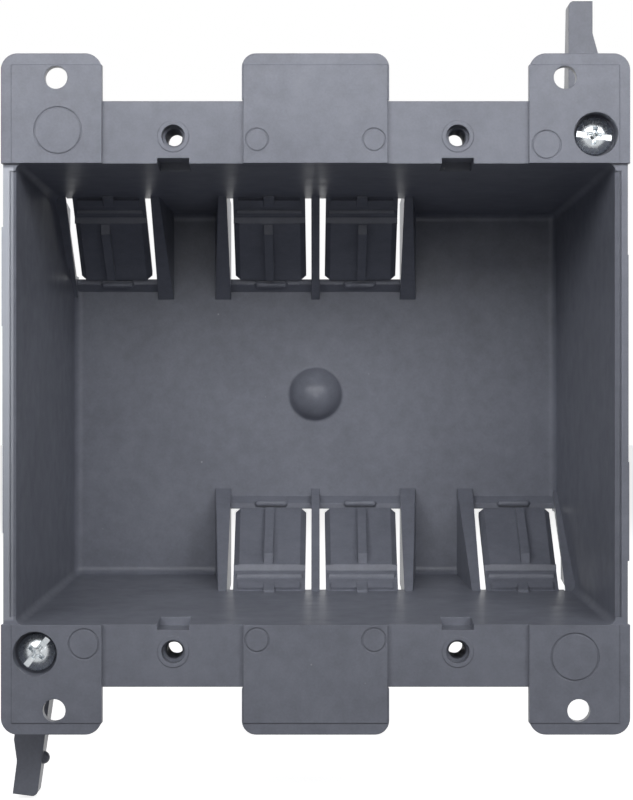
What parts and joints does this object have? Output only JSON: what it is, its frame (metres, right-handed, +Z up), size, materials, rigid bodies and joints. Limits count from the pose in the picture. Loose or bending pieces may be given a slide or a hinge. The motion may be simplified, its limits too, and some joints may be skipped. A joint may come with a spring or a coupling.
{
  "type": "drywall back box",
  "caption": "Deep double back box for drywall with ears, moulded cable clamps and swing-out wings on long screws.",
  "frame": {"origin": "middle of the four device-screw holes, on the front face of the frame round the mouth", "axes": "+X to the right and +Z up as seen from the room, +Y into the wall"},
  "size_m": [0.1016, 0.0668, 0.1342],
  "materials": {
    "pvc": "satin moulded grey PVC",
    "zinc": "bright zinc-plated steel"
  },
  "bodies": {
    "box": {"box_body": "pvc"},
    "upper_screw": {"upper_clamp_screw": "zinc"},
    "upper_swing_wing": {"upper_wing": "pvc"},
    "lower_screw": {"lower_clamp_screw": "zinc"},
    "lower_swing_wing": {"lower_wing": "pvc"}
  },
  "joints": [
    {"name": "upper_swing", "type": "hinge", "parent": "box", "child": "upper_screw", "pos_m": [0.0453, 0, 0.04195], "axis": [0, -1, 0], "range_deg": [-7.3, 90]},
    {"name": "upper_travel", "type": "slide", "parent": "upper_screw", "child": "upper_swing_wing", "axis": [0, 1, 0], "range_m": [-0.0108, 0.01]},
    {"name": "lower_swing", "type": "hinge", "parent": "box", "child": "lower_screw", "pos_m": [-0.0453, 0, -0.04195], "axis": [0, -1, 0], "range_deg": [0, 97.3]},
    {"name": "lower_travel", "type": "slide", "parent": "lower_screw", "child": "lower_swing_wing", "axis": [0, 1, 0], "range_m": [-0.0003, 0.0205]}
  ]
}
